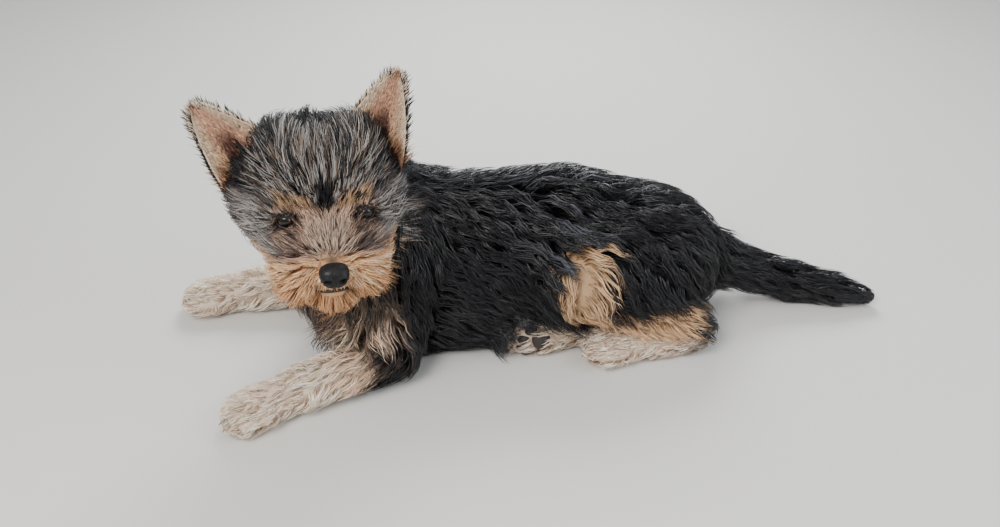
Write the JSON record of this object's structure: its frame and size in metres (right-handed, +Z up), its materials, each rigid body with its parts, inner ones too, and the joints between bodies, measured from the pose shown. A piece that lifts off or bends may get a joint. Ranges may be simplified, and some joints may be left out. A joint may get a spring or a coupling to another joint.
{
  "type": "terrier puppy",
  "caption": "Long-haired black and tan terrier puppy lying on its chest with hips rolled over, head up and turned to its left, ears upright.",
  "frame": {"origin": "on the floor under the belly, just behind the chest, in the belly's resting flat", "axes": "+Z up, -X towards the head end, +X towards the tail, -Y the side that the head faces"},
  "size_m": [0.4693, 0.1577, 0.1875],
  "materials": {
    "black_coat": "long silky wavy hair, black with a blue-grey sheen",
    "silver_coat": "streaked black, silver and tan hair",
    "tan_coat": "golden tan hair",
    "cream_coat": "short to medium cream and pale tan hair",
    "ear_skin": "thin, short-haired skin, pink tan inside and black behind",
    "nose": "moist black skin, finely pebbled",
    "eye": "wet, very dark brown"
  },
  "bodies": {
    "root": {"eye_left": "eye", "eye_right": "eye", "nose": "nose", "head": "silver_coat", "ear_left": "ear_skin", "ear_right": "ear_skin", "lower_jaw": "tan_coat", "torso": "black_coat", "neck": "black_coat", "tail_root": "black_coat", "tail_tip": "black_coat", "upper_arm_left": "black_coat", "forearm_left": "cream_coat", "fore_foot_left": "cream_coat", "upper_arm_right": "black_coat", "forearm_right": "cream_coat", "fore_foot_right": "cream_coat", "thigh_left": "black_coat", "shank_left": "cream_coat", "hind_foot_left": "cream_coat", "thigh_right": "black_coat", "shank_right": "cream_coat", "hind_foot_right": "cream_coat"}
  },
  "joints": []
}
